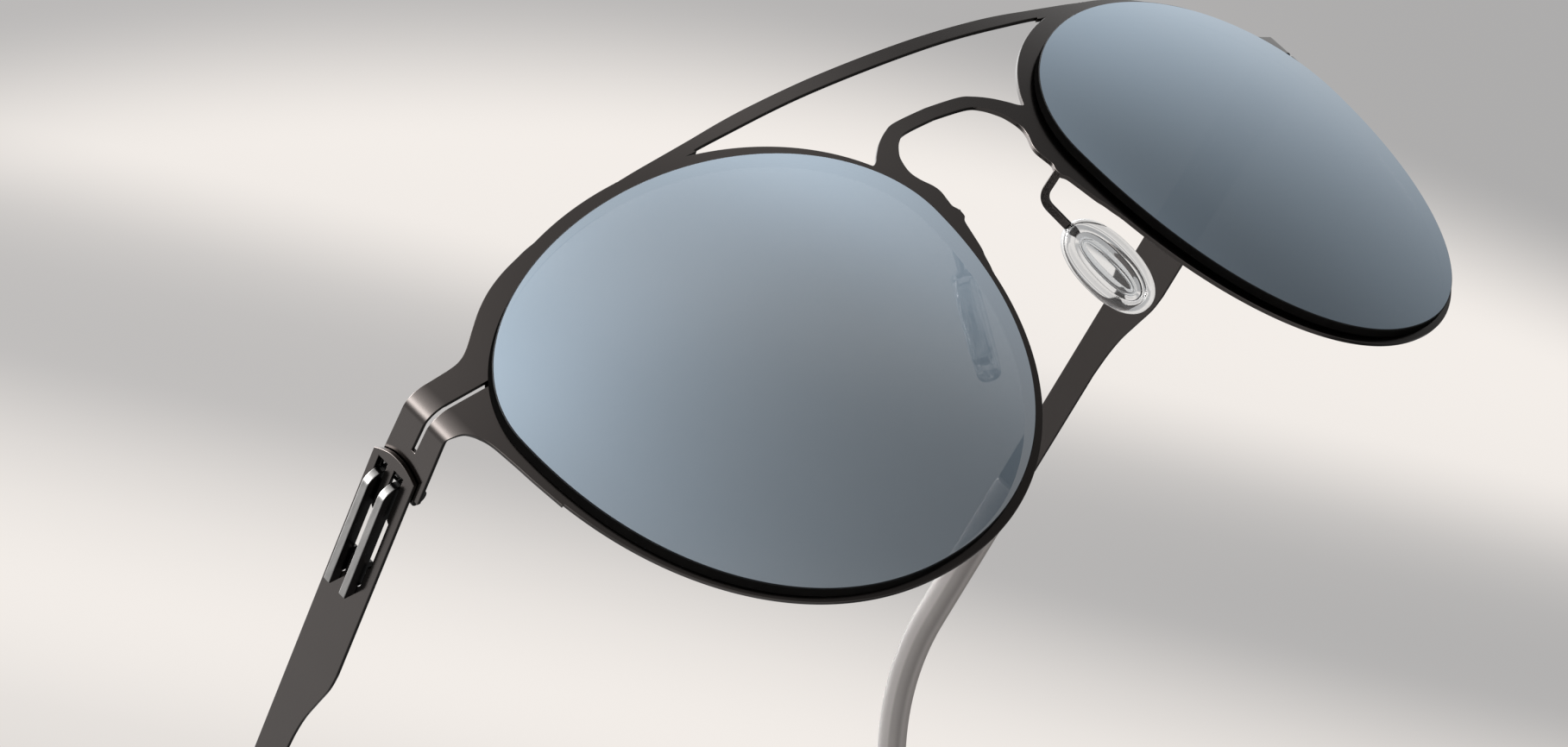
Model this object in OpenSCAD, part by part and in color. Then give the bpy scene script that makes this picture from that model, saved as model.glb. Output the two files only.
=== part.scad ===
// Metal sunglasses: a thin spring sheet front with a double bridge and screwless clip hinges.
// Millimetres. x runs across the face (positive is the wearer's left), y runs back to the ears,
// z is up. The sheet front is one sphere-curved skin, bent back at both ends into the hinge lugs.

/* [Lenses] */
// width of one lens
lens_w = 55.4; // [52:0.2:57.6]
// height of one lens
lens_h = 50.2; // [47:0.2:53]
// distance between the lenses over the nose
lens_gap = 23.5; // [22:0.1:25]
// thickness of a lens
lens_t = 2; // [1.8:0.1:2.4]
// how far the lens face stands in front of the sheet
lens_proud = 1.1; // [0.8:0.1:1.3]

/* [Front sheet] */
// thickness of the sheet, front and temples
sheet_t = 0.5; // [0.4:0.05:0.6]
// radius of the sphere that the front follows
face_r = 205; // [195:5:230]
// width of the rim at its middle value, wider at the top inside and narrower at the bottom outside
rim_w = 1.3; // [1.2:0.1:1.6]

/* [Hinge] */
// height of the hinge above the middle of the lenses, at the lens height of 50.2
hinge_z = 14.3; // [13.9:0.1:14.7]
// radius of the rolled lug ends, outside
eye_r = 0.95; // [0.95:0.05:1.1]
// gap between the axle and the bore it turns in
axle_play = 0.04; // [0.02:0.01:0.08]
// how far the two fins stand out of the temple
fin_out = 1.5; // [0.8:0.1:1.8]

/* [Temples] */
// width of the temple plate at the hinge
plate_w = 5.9; // [5.7:0.1:6.4]
// width of the narrow part of the temple
neck_w = 3.6; // [3.2:0.1:4]
// length from the hinge to the start of the ear bend
reach = 84; // [78:0.5:90]
// radius of the ear bend
ear_r = 40.5; // [38:0.5:43]
// angle of the ear bend in degrees
ear_angle = 46; // [44:1:48]
// straight length after the bend
ear_tail = 29.55; // [24:0.05:32]
// slope of the temple in degrees
slope = 3.8; // [3:0.1:5]
// how many degrees the open temple points inward
toe_in = 4; // [3:0.1:5]

/* [Nose pads] */
// length of a pad
pad_l = 12.2; // [11:0.2:13]
// width of a pad
pad_w = 6.4; // [5.8:0.2:7]
// thickness of a pad
pad_t = 2.4; // [2:0.1:2.8]

/* [Hidden] */

steel = [0.27, 0.26, 0.255];
bright = [0.72, 0.72, 0.73];
mirror_blue = [0.55, 0.6, 0.66];
clear = [0.86, 0.87, 0.87];
sleeve_grey = [0.6, 0.57, 0.53];

half_w = lens_w / 2;
lens_x = lens_gap / 2 + half_w;      // middle of the left lens
up_h = 0.355 * lens_h;               // from the widest line up to the top of the lens
down_h = lens_h - up_h;              // and down to its lowest point
wide_z = 0.1172 * lens_h;            // the widest line, above the middle of the lens
groove = 0.45;                       // how deep the sheet sits in the edge of the lens

lug_x = lens_x + half_w + 3.05;      // outer face of the hinge lugs
axis_x = lug_x - eye_r;
tall = lens_h / 50.2;                // the front grows in height with the lenses
hinge_up = hinge_z * tall;
axis_y = 23.9;
bore_r = eye_r - sheet_t;
axle_r = bore_r - axle_play;
lug_top = 2.6;                       // lugs above and below the hinge height
lug_low = 3.2;
slit = 0.55;                         // cut that lets the rim open to take the lens
slit_z = hinge_up - 0.9;
slit_end = 19.4;
clip_z = 0.25;                       // middle of the clip, above the hinge height
fin_z = 1.15;                        // the two fins, above and below the middle of the clip
fin_t = 0.85;
slot_w = 1.3;
slot_at = -2;
slot_end = 14.1;
clip_low = clip_z - fin_z - fin_t / 2 - 0.04;        // the room for the clip between the eyes
clip_high = clip_z + fin_z + fin_t / 2 + 0.04;
plate_in = eye_r + 0.1;              // inner face of the temple plate, from the hinge axis
plate_out = plate_in + sheet_t;
neck_z = (plate_w - neck_w) / 2;     // middle line of the narrow part
sleeve_at = 61;                      // where the ear sleeve begins
sleeve_w = 3.9;
sleeve_t = 2;

bend_r = 2;                          // outside radius of the sheet bend into the lugs
bend_d = face_r - bend_r;
bend_x = lug_x - bend_r;
bend_a = asin(bend_x / bend_d);
bend_at = bend_d * cos(bend_a);      // bend centre, out from the axis of the revolved skin
skin_turn = 22;

rest_h = down_h - wide_z + rim_w - 0.536;            // the middle of the lenses, above the ground
tip_y = axis_y + reach * cos(slope) + ear_r * (sin(slope + ear_angle) - sin(slope))
        + ear_tail * cos(slope + ear_angle) + 0.447;
mid_y = (tip_y - 0.753) / 2;

// outline of the left lens seen from the front: angle t, grown by d along its normal
function power(v, e) = sign(v) * pow(abs(v), e);
function lens_pt(t) = sin(t) >= 0
  ? [lens_x + half_w * cos(t) - 0.15 * pow(sin(t), 2), wide_z + up_h * sin(t)]
  : [lens_x + half_w * power(cos(t), 2 / 2.1), wide_z + down_h * power(sin(t), 2 / 2.1)];
function lens_out(t) = let(d = lens_pt(t + 0.5) - lens_pt(t - 0.5)) [d[1], -d[0]] / norm(d);
function rim_at(p) = rim_w + 0.7 * cos(atan2(p[1], p[0] - lens_x) - 130);
function rim_pt(t) = lens_pt(t) + rim_at(lens_pt(t)) * lens_out(t);

// a smooth line through a few points, n steps between each two
function pick(p, i) = p[max(0, min(len(p) - 1, i))];
function between(a, b, c, d, u) = 0.5 * (2 * b + (c - a) * u + (2 * a - 5 * b + 4 * c - d) * u * u
                                  + (3 * b - a - 3 * c + d) * u * u * u);
function curve(p, n = 4) = [for (i = [0:len(p) - 2], k = [0:n - 1])
  between(pick(p, i - 1), p[i], p[i + 1], pick(p, i + 2), k / n), p[len(p) - 1]];
function arc(c, r, a0, a1, n = 6) = [for (k = [0:n]) let(a = a0 + (a1 - a0) * k / n)
  c + r * [cos(a), sin(a)]];
function spread(p) = [for (q = p) [q[0] * lens_gap / 23.5, q[1] * tall]];
function high(p) = [for (q = p) [q[0], q[1] * tall]];
function shift(p, d) = [for (q = p) q + d];

module lens_shape(d = 0) { polygon([for (t = [0:5:355]) lens_pt(t) + d * lens_out(t)]); }

// pushes a front view through the sheet, from y = -20 to y = 40
module through_front(more = 0) {
  translate([0, 40 + more, 0]) rotate([90, 0, 0]) linear_extrude(60 + 2 * more) children();
}

// the skin is turned about the x axis through the centre of the sphere, so the face is a sphere,
// the bends are rings and the lugs are flat
module turned() {
  translate([0, face_r, 0]) rotate([-90, 0, 0]) rotate([0, 90, 0]) rotate([0, 0, -skin_turn / 2])
    rotate_extrude(angle = skin_turn, $fn = 720) children();
}

module shell_face(r_out, r_in, from, to) {
  turned() intersection() {
    difference() { circle(r_out, $fn = 720); circle(r_in, $fn = 720); }
    translate([face_r - 40, from]) square([50, to - from]);
  }
}

// the bend is a hair thicker than the sheet, so that the face and the lug run a little into it
module skin_side() {
  turned() translate([bend_at, bend_x]) intersection() {
    difference() { circle(bend_r + 0.02, $fn = 96); circle(bend_r - sheet_t - 0.02, $fn = 96); }
    polygon([[0, 0], 4 * [cos(bend_a), sin(bend_a)], [4, 4], [0, 4]]);
  }
  turned() translate([bend_at - 14, lug_x - sheet_t]) square([14.2, sheet_t]);
}

module skin() {
  turned() intersection() {
    difference() { circle(face_r, $fn = 720); circle(face_r - sheet_t, $fn = 720); }
    polygon([[0, 0], 300 * [cos(bend_a + 0.05), -sin(bend_a + 0.05)],
             300 * [cos(bend_a + 0.05), sin(bend_a + 0.05)]]);
  }
  skin_side();
  mirror([1, 0, 0]) skin_side();
}

module rim_shape() { polygon([for (t = [0:4:356]) rim_pt(t)]); }

// a shape drawn from the middle out to the left and back, with its mirror image
function both(p) = concat(p, [for (i = [len(p) - 2:-1:1]) [-p[i][0], p[i][1]]]);

module brow_shape() {
  polygon(both(high(concat(curve([[0, 27.05], [9.4, 27], [18.4, 26.75], [23, 26.5], [27.4, 26.15],
    [31.6, 25.9], [35.6, 25.7], [38.4, 25.5]], 3), [[36.5, 24.1], [31, 24.6]],
    curve([[28.3, 24.5], [27.8, 24.6], [27.65, 24.8], [22.4, 25], [12.4, 25.35], [0, 25.4]], 4)))));
}

module bridge_shape() {
  polygon(both(concat(curve(spread([[0, 18.1], [5.2, 17.85], [7.2, 17.3], [9.2, 16.3], [10.8, 15.15],
    [11.7, 14.4], [12.5, 14.15], [13.4, 14.8], [14.4, 16.3]]), 4),
    spread([[14.8, 13.3], [12.6, 8.3], [11.8, 3.3], [11.6, -2.2]]),
    curve(spread([[10.5, -2.3], [10.05, -0.6], [9.6, 0.4], [9, 2.6], [8.6, 3.9], [8.05, 4.5],
    [8, 5.4], [8.3, 6.1], [8.2, 6.9], [8, 8.1], [8.2, 9.1], [8.95, 10.5], [9.2, 11.8],
    [8.75, 13.4], [8.05, 14.4], [6.8, 15.5], [5, 16.2], [0, 16.5]]), 3))));
}

module end_shape() {
  dx = lug_x - 70.2;
  polygon(concat(high(shift(curve([[46.5, 24.3], [50.5, 23.9], [52.8, 23.4], [55.2, 22.75], [57.6, 21.8],
    [59.8, 20.55], [61.8, 19.1], [63.7, 17.65], [64.9, 17], [66.2, 16.75], [68.6, 16.75],
    [70, 16.85]], 3), [dx, 0])),
    [[lug_x + 1, hinge_up + lug_top], [lug_x + 1, hinge_up - lug_low]],
    high(shift(curve([[70.6, 11.05], [69.95, 10.7], [69.25, 9.9], [68.5, 8.1], [68.15, 5], [67.9, 2],
    [67.5, -1.5]], 3), [dx, 0])), [[lens_x + half_w - 1, -1], [lens_x + half_w - 4, 14]]));
}

// everything at the hinge is made round its axis, which leans back with the temple
module at_hinge() { translate([axis_x, axis_y, hinge_up]) rotate([-slope, 0, 0]) children(); }
module at_temple() { at_hinge() rotate([0, 0, toe_in]) children(); }

module eye(z0, z1) {
  translate([0, 0, z0]) difference() {
    cylinder(r = eye_r, h = z1 - z0, $fn = 64);
    translate([0, 0, -1]) cylinder(r = bore_r, h = z1 - z0 + 2, $fn = 64);
    translate([bore_r - 0.16, -eye_r - 0.2, -1]) cube([0.15, eye_r, z1 - z0 + 2]);
  }
}

// the nose pad stands beside the nose: its long axis, the way it faces, and its middle
pad_mid = [11.05 * lens_gap / 23.5, 6.6, -4.25 * tall];
pad_up = [-0.364, -0.273, 0.891] / norm([-0.364, -0.273, 0.891]);
arm_start = [8.2 * lens_gap / 23.5, 0.35, 5.05 * tall];
arm_bend = pad_mid + (pad_l / 2 + 4) * pad_up;
arm_back = (arm_bend - arm_start) / norm(arm_bend - arm_start);
arm_flat = cross(arm_back, -pad_up) / norm(cross(arm_back, -pad_up));
arm_side = cross(arm_flat, -pad_up);
pad_across = cos(28) * arm_side - sin(28) * arm_flat;
pad_face = cross(pad_across, pad_up);
module basis(o, ex, ey, ez) {
  multmatrix([[ex[0], ey[0], ez[0], o[0]], [ex[1], ey[1], ez[1], o[1]],
              [ex[2], ey[2], ez[2], o[2]], [0, 0, 0, 1]]) children();
}

// one flat strip cut with the sheet: back from the rim, then down into the pad
module arm_strip(grow = 0) {
  w = 0.95 + grow;
  leg = norm(arm_bend - arm_start);
  ang = acos(arm_back * pad_up);
  a = 1.4;
  basis(arm_bend, -pad_up, arm_side, arm_flat)
    translate([0, 0, -sheet_t / 2 - grow / 2]) linear_extrude(sheet_t + grow)
    polygon(concat(
      [[5.6, w / 2], [a, w / 2]],
      curve([[a, w / 2], [0.55, 0.62], [0.1 + 0.55 * cos(ang), -0.1 + 0.55 * sin(ang)],
             a * [cos(ang), sin(ang)] + w / 2 * [sin(ang), -cos(ang)]], 4),
      [leg * [cos(ang), sin(ang)] + w / 2 * [sin(ang), -cos(ang)],
       leg * [cos(ang), sin(ang)] - w / 2 * [sin(ang), -cos(ang)]],
      curve([a * [cos(ang), sin(ang)] - w / 2 * [sin(ang), -cos(ang)], [-0.35, 0.25],
             [-0.2, -0.25], [a, -w / 2]], 4),
      [[5.6, -w / 2]]));
}

module front_frame() {
  color(steel) {
    difference() {
      intersection() {
        skin();
        difference() {
          union() {
            through_front() brow_shape();
            through_front() bridge_shape();
            for (m = [0, 1]) mirror([m, 0, 0]) {
              through_front() rim_shape();
              through_front() end_shape();
            }
          }
          for (m = [0, 1]) mirror([m, 0, 0]) through_front(1) lens_shape(-groove);
        }
      }
      for (m = [0, 1]) mirror([m, 0, 0]) {
        translate([lens_x + 15, -20, slit_z - slit / 2]) cube([60, slit_end + 20, slit]);
        at_hinge() {
          translate([-4, -0.12, -6]) cube([8, 20, 12]);
          translate([-4, -1.25, clip_low]) cube([8, 20, clip_high - clip_low]);
        }
      }
    }
    for (m = [0, 1]) mirror([m, 0, 0]) {
      at_hinge() { eye(clip_high + 0.05, lug_top - 0.1); eye(0.1 - lug_low, clip_low - 0.05); }
      arm_strip();
    }
  }
}

module lens() {
  color(mirror_blue) difference() {
    intersection() {
      shell_face(face_r + lens_proud, face_r + lens_proud - lens_t, lens_gap / 2 - 5,
                 lens_gap / 2 + lens_w + 5);
      through_front() lens_shape();
    }
    intersection() {
      shell_face(face_r + 0.02, face_r - sheet_t - 0.02, lens_gap / 2 - 8,
                 lens_gap / 2 + lens_w + 8);
      through_front() difference() {
        translate([lens_x - 40, -40]) square(80);
        lens_shape(-groove - 0.05);
      }
    }
  }
}

module side_view(x0, x1) { translate([x0, 0, 0]) rotate([90, 0, 90]) linear_extrude(x1 - x0) children(); }

// two fins with an arched front and a square rear, joined by two webs and the axle they turn on
module hinge_clip() {
  top = plate_out + fin_out;
  color(bright) at_temple() {
    translate([0, 0, 0.2 - lug_low]) cylinder(r = axle_r, h = lug_low + lug_top - 0.4, $fn = 64);
    for (s = [-1, 1]) translate([0, 0, clip_z + s * fin_z - fin_t / 2]) linear_extrude(fin_t) {
      circle(r = 0.8, $fn = 48);
      polygon(concat([[0, 0.75], [-0.2, 0], [0.3, -0.7]], arc([top - 1.5, 0.9], 1.5, 245, 360, 10),
        arc([top - 0.3, slot_end + 0.7], 0.3, 0, 90), [[plate_out + 0.02, slot_end + 1],
        [plate_out + 0.02, slot_end - 0.18], [plate_in - sheet_t, slot_end - 0.18],
        [plate_in - sheet_t, 1.2]]));
    }
    for (y = [1.2, slot_end - 3.2]) translate([plate_in - sheet_t, y, clip_z - fin_z - fin_t / 2])
      cube([sheet_t, y > 5 ? 3.02 : 2.7, 2 * fin_z + fin_t]);
  }
}

// the ear path in the side view: straight, bend, straight
function path(s) = let(a = min(max(s - reach, 0), ear_r * ear_angle * PI / 180) / ear_r * 180 / PI,
  rest = max(s - reach - ear_r * ear_angle * PI / 180, 0))
  [min(s, reach) + ear_r * sin(a) + rest * cos(a),
   neck_z - ear_r * (1 - cos(a)) - rest * sin(a), a];
function beside(s, d) = let(q = path(s)) [q[0] + d * sin(q[2]), q[1] + d * cos(q[2])];
path_end = reach + ear_r * ear_angle * PI / 180 + ear_tail;
stops = [for (k = [0:14]) reach + (path_end - ear_tail - reach) * k / 14];

// the thin end of the temple inside the sleeve, pulled in by less
module core_shape(grow = 0) {
  last = path_end - 5;
  polygon(concat([beside(sleeve_at - 0.1, neck_w / 2 + grow), beside(sleeve_at + 0.5, neck_w / 2 + grow),
    beside(sleeve_at + 3, 0.9 + grow)], [for (s = stops) beside(s, 0.9 + grow)],
    [beside(last + grow, 0.6 + grow), beside(last + grow, -1.2 - grow)],
    [for (k = [len(stops) - 1:-1:0]) beside(stops[k], -1.5 - grow)],
    [beside(sleeve_at + 3, -1.5 - grow), beside(sleeve_at + 0.5, -neck_w / 2 - grow),
     beside(sleeve_at - 0.1, -neck_w / 2 - grow)]));
}

module plate_shape() {
  h = plate_w / 2;
  step = plate_w - neck_w;
  difference() {
    polygon(concat(
      [[sleeve_at, h]],
      curve([[-2.35, h], [-2.95, 0.66 * h], [-3.4, 0.26 * h], [-3.4, -0.26 * h],
             [-3, -0.66 * h], [-2.45, -h]], 4),
      curve([[26, -h], [28.5, 0.11 * step - h], [31.5, 0.43 * step - h], [34.5, 0.74 * step - h],
             [37.5, 0.91 * step - h], [41, step - h]], 4),
      [[sleeve_at, step - h]]));
    for (s = [-1, 1]) {
      translate([slot_at, clip_z + s * fin_z - slot_w / 2])
        square([slot_end - slot_at - slot_w / 2, slot_w]);
      translate([slot_end - slot_w / 2, clip_z + s * fin_z]) circle(r = slot_w / 2, $fn = 32);
    }
  }
}

module temple() {
  color(steel) at_temple() {
    side_view(plate_in, plate_out) plate_shape();
    side_view(plate_in, plate_out) core_shape();
  }
}

module sleeve_shape(d) {
  polygon(concat([beside(sleeve_at, d)], [for (s = stops) beside(s, d)],
    [for (k = [0:8]) let(a = 90 - 22.5 * k)
      beside(path_end - 2.15 + d * cos(a) * 1, d * sin(a))],
    [for (k = [len(stops) - 1:-1:0]) beside(stops[k], -d)], [beside(sleeve_at, -d)]));
}

module ear_sleeve() {
  mid = (plate_in + plate_out) / 2;
  color(sleeve_grey) at_temple() difference() {
    union() {
      side_view(mid - sleeve_t / 2, mid + sleeve_t / 2) sleeve_shape(sleeve_w / 2 - 0.4);
      side_view(mid - sleeve_t / 2 + 0.4, mid + sleeve_t / 2 - 0.4) sleeve_shape(sleeve_w / 2);
    }
    side_view(plate_in - 0.01, plate_out + 0.01) core_shape(0.01);
  }
}

module oval(l, w, n = 48) {
  polygon([for (k = [0:n - 1]) let(a = k * 360 / n)
    [w / 2 * power(cos(a), 0.92), l / 2 * power(sin(a), 0.92)]]);
}

// a soft clear ring with a thin middle and a recess on both faces
module nose_pad() {
  color(clear) difference() {
    basis(pad_mid, pad_across, pad_up, pad_face) {
      difference() {
        union() {
          translate([0, 0, -pad_t / 2]) linear_extrude(pad_t) oval(pad_l - 0.9, pad_w - 0.9);
          translate([0, 0, -pad_t / 2 + 0.45]) linear_extrude(pad_t - 0.9) oval(pad_l, pad_w);
        }
        for (s = [0, 1]) mirror([0, 0, s]) translate([0, 0, 0.5])
          linear_extrude(pad_t) oval(pad_l - 3.6, pad_w - 2.9);
        linear_extrude(1.02, center = true) oval(pad_l - 3.6, pad_w - 2.9);
      }
    }
    arm_strip(0.02);
  }
}

// the stiff clear insert in the middle of the pad, which takes the end of the arm
module pad_insert() {
  color(clear) difference() {
    basis(pad_mid, pad_across, pad_up, pad_face) difference() {
      linear_extrude(1, center = true) oval(pad_l - 3.6, pad_w - 2.9);
      linear_extrude(2, center = true) translate([0, -0.9]) oval(pad_l - 6.8, pad_w - 4.7);
    }
    arm_strip(0.02);
  }
}

module left() { translate([0, -mid_y, rest_h]) children(); }
module right() { left() mirror([1, 0, 0]) children(); }

left() front_frame();
left() lens();  // lens_left
right() lens();  // lens_right
left() hinge_clip();  // hinge_clip_left
right() hinge_clip();  // hinge_clip_right
left() temple();  // temple_left
right() temple();  // temple_right
left() ear_sleeve();  // ear_sleeve_left
right() ear_sleeve();  // ear_sleeve_right
left() nose_pad();  // nose_pad_left
right() nose_pad();  // nose_pad_right
left() pad_insert();  // pad_insert_left
right() pad_insert();  // pad_insert_right
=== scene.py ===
"""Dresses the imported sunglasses: smooth sheet front, lenses, clip hinges, temples, sleeves and pads."""

import math

import bmesh
import bpy
import numpy as np
from bpy.props import FloatProperty, FloatVectorProperty, PointerProperty
from mathutils import Matrix, Vector, geometry


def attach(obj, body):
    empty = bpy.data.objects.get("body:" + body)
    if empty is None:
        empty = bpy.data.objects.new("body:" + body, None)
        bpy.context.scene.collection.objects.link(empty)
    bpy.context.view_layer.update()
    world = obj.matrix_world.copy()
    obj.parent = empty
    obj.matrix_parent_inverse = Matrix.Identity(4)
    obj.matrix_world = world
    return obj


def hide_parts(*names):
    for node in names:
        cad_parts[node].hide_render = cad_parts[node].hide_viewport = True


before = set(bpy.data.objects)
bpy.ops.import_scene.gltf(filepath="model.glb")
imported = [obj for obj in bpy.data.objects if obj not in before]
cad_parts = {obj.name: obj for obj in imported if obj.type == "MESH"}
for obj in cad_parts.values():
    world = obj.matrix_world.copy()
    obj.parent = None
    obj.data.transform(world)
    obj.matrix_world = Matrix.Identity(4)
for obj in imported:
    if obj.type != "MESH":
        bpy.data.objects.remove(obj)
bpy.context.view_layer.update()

bl_info = {
    "name": "Sheet metal sunglasses",
    "version": (1, 0, 0),
    "blender": (4, 5, 0),
    "location": "3D View > Sidebar > Sunglasses",
    "description": "Builds the visible pieces of a pair of metal sunglasses",
    "category": "Add Mesh",
}

MM = 0.001
LEFT, RIGHT = 1, -1  # the wearer's left is +X


# -------- settings

def measure(name, text, default, **limits):
    return FloatProperty(name=name, description=text + ", in mm", default=default, **limits)


def angle(name, text, degrees):
    return FloatProperty(name=name, description=text, default=math.radians(degrees), subtype="ANGLE")


def colour(name, text, rgb):
    return FloatVectorProperty(name=name, description=text, default=rgb, size=3, min=0, max=1, subtype="COLOR")


class FrontSettings(bpy.types.PropertyGroup):
    sheet: measure("Sheet", "Thickness of the sheet", 0.5, min=0.3, max=0.8)
    face_r: measure("Face radius", "Sphere that the front follows", 205.0)
    rim_w: measure("Rim width", "Middle value of the rim's width", 1.3)
    edge: measure("Edge radius", "Rounding along the cut edges", 0.07)
    bend_r: measure("Bend radius", "Outside radius of the bend into the lugs", 2.6)


class LensSettings(bpy.types.PropertyGroup):
    width: measure("Width", "Width of a lens", 55.4)
    height: measure("Height", "Height of a lens", 50.2)
    gap: measure("Gap", "Distance between the lenses", 23.5)
    proud: measure("Proud", "How far the lens face stands out of the sheet", 1.1)
    thick: measure("Thickness", "Thickness of a lens", 2.0)
    bevel: measure("Bevel", "Ground bevel along the front edge", 0.1)


class TempleSettings(bpy.types.PropertyGroup):
    plate_w: measure("Plate width", "Width at the hinge", 5.9)
    neck_w: measure("Neck width", "Width of the narrow part", 3.6)
    reach: measure("Reach", "From the hinge to the ear bend", 84.0)
    ear_r: measure("Ear radius", "Radius of the ear bend", 40.5)
    ear_angle: angle("Ear angle", "Turn of the ear bend", 46)
    tail: measure("Tail", "Straight length after the bend", 29.55)
    slope: angle("Slope", "Slope of the temple", 3.8)
    toe_in: angle("Toe in", "Inward angle when open", 4)
    sleeve_w: measure("Sleeve width", "Width of the ear sleeve", 3.9)
    sleeve_t: measure("Sleeve thickness", "Thickness of the ear sleeve", 2.0)


class PadSettings(bpy.types.PropertyGroup):
    length: measure("Length", "Length of a nose pad", 12.2)
    width: measure("Width", "Width of a nose pad", 6.4)
    thick: measure("Thickness", "Thickness of a nose pad", 2.4)


class ColourSettings(bpy.types.PropertyGroup):
    steel: colour("Steel", "Dark satin coat on the sheet", (0.0515, 0.0458, 0.0432))
    clip: colour("Clip", "Satin steel clip", (0.20, 0.195, 0.19))
    coat: colour("Mirror", "Mirror coat of the lens", (0.435, 0.55, 0.665))
    lens_in: colour("Lens", "Tinted lens from inside", (0.035, 0.035, 0.034))
    sleeve: colour("Sleeve", "Ear sleeve", (0.265, 0.247, 0.236))
    # the core colour stands partly for the metal seen through the sleeve and partly for painted shade on its
    # lower side
    sleeve_core: colour("Core", "Metal seen through the sleeve", (0.10, 0.09, 0.084))
    clear: colour("Clear", "Clear pad", (0.84, 0.86, 0.875))
    floor: colour("Floor", "Floor", (0.84, 0.82, 0.8))


# -------- outlines (all in mm)

HINGE_Z = 14.3
LUG_TOP, LUG_LOW = 2.35, 3.75  # the lugs' ends, above and below the hinge height
LUG_DROP = 0.6  # how far the lugs, which slope with the temples, come down from the bend to the hinge
EYE_LOW = 3.1  # the lower eyes' ends, below the hinge height
EYE_R, EYE_TURN = 0.95, 292  # outside radius of the rolled eyes, and the roll in degrees
LUG_X = 70.2
BEND_FROM = 67.0  # the end piece's outline is stretched along the bend from here outward
AXIS_X, AXIS_Y = LUG_X - EYE_R, 23.9
PLATE_IN = EYE_R + 0.1
SLIT, SLIT_END = 0.5, 18.7  # height of the slit between the lugs, and how far back it runs
CLIP_Z, FIN_Z, FIN_T, FIN_OUT = 0.25, 1.15, 0.85, 1.5
CLIP_LOW, CLIP_HIGH = CLIP_Z - FIN_Z - FIN_T / 2 - 0.04, CLIP_Z + FIN_Z + FIN_T / 2 + 0.04
SLOT_W, SLOT_AT, SLOT_END = 1.3, -2.0, 14.1
SLOT_DIP = 0.32  # the slots are wider under the middle of the fins
SLEEVE_AT = 61.0
LENS_UP, LENS_MID = 0.355, 0.1172  # shares of the lens height: above its widest line, and where that line lies
GROOVE = 0.45  # depth of the groove round the lens
ARM_W, ARM_CORNER = 0.92, 1.5  # width of the pad arms, and how far their bend reaches from its corner
PAD_TURN, PAD_WALL = math.radians(28), 1.45  # turn of the pads from their arms, and the width of their ring
MID_Y, REST_H = 77.366, 27.26  # from the middle of the face to the middle of the box, and to the ground
# the photograph's camera: its place and focal length in mm, its angles in degrees
CAMERA_AT, CAMERA_LENS = (-408.06, -403.62, -134.90), 122.84
CAMERA_HEADING, CAMERA_PITCH, CAMERA_ROLL = 48.080, 17.975, -42.693


def settings():
    return bpy.context.scene.sunglasses


def point(p, side=LEFT):
    """A point of the left half, in mm from the middle of the face, as metres in the shared frame."""
    return Vector((side * p[0], p[1] - MID_Y, p[2] + REST_H)) * MM


def lens_pt(t, grow=0.0):
    """The left lens's outline at angle t, grown along its normal."""
    s = settings().lens
    def raw(a):
        half, up = s.width / 2, LENS_UP * s.height
        c, n = math.cos(math.radians(a)), math.sin(math.radians(a))
        x0, z0 = s.gap / 2 + half, LENS_MID * s.height
        if n >= 0:
            return x0 + half * c - 0.15 * n * n, z0 + up * n
        e = 2 / 2.1
        return x0 + half * math.copysign(abs(c) ** e, c), z0 - (s.height - up) * abs(n) ** e
    x, z = raw(t)
    (x1, z1), (x2, z2) = raw(t - 0.5), raw(t + 0.5)
    ln = math.hypot(x2 - x1, z2 - z1)
    return x + grow * (z2 - z1) / ln, z - grow * (x2 - x1) / ln


def rim_pt(t):
    s = settings()
    x, z = lens_pt(t)
    turn = math.atan2(z, x - s.lens.gap / 2 - s.lens.width / 2) - math.radians(130)
    return lens_pt(t, s.front.rim_w + 0.7 * math.cos(turn))


def curve(pts, n=10):
    """A smooth line through a few points."""
    out = []
    p = [Vector(q) for q in pts]
    for i in range(len(p) - 1):
        a, b, c, d = p[max(i - 1, 0)], p[i], p[i + 1], p[min(i + 2, len(p) - 1)]
        for k in range(n):
            u = k / n
            out.append(tuple(0.5 * (2 * b + (c - a) * u + (2 * a - 5 * b + 4 * c - d) * u * u
                                    + (3 * b - a - 3 * c + d) * u ** 3)))
    return out + [tuple(p[-1])]


def both(pts):
    """A shape drawn from the middle out to the left and back, with its mirror image."""
    return list(pts) + [(-x, z) for x, z in reversed(pts[1:-1])]


def arc(cx, cy, r, a0, a1, n=12):
    return [(cx + r * math.cos(math.radians(a0 + (a1 - a0) * k / n)),
             cy + r * math.sin(math.radians(a0 + (a1 - a0) * k / n))) for k in range(n + 1)]


def brow_shape():
    return both(curve([(0, 27.05), (9.4, 27), (18.4, 26.75), (23, 26.5), (27.4, 26.15), (31.6, 25.9),
                       (35.6, 25.7), (38.4, 25.5)])
                + [(36.5, 24.1), (31, 24.6)]
                + curve([(28.3, 24.5), (27.8, 24.6), (27.65, 24.8), (22.4, 25), (12.4, 25.35), (0, 25.4)]))


def bridge_shape():
    return both(curve([(0, 18.1), (5.2, 17.85), (7.2, 17.3), (9.2, 16.3), (10.8, 15.15), (11.7, 14.4),
                       (12.5, 14.15), (13.4, 14.8), (14.4, 16.3)])
                + [(14.8, 13.3), (12.6, 8.3), (11.8, 3.3), (12, -3)]
                + curve([(11.1, -3.2), (10.5, -1.9), (10.05, -0.6), (9.6, 0.4), (9, 2.6), (8.6, 3.9),
                         (8.05, 4.5), (8, 5.4), (8.3, 6.1), (8.2, 6.9), (8, 8.1), (8.2, 9.1), (8.95, 10.5),
                         (9.2, 11.8), (8.75, 13.4), (8.05, 14.4), (6.8, 15.5), (5, 16.2), (0, 16.5)]))


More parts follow.
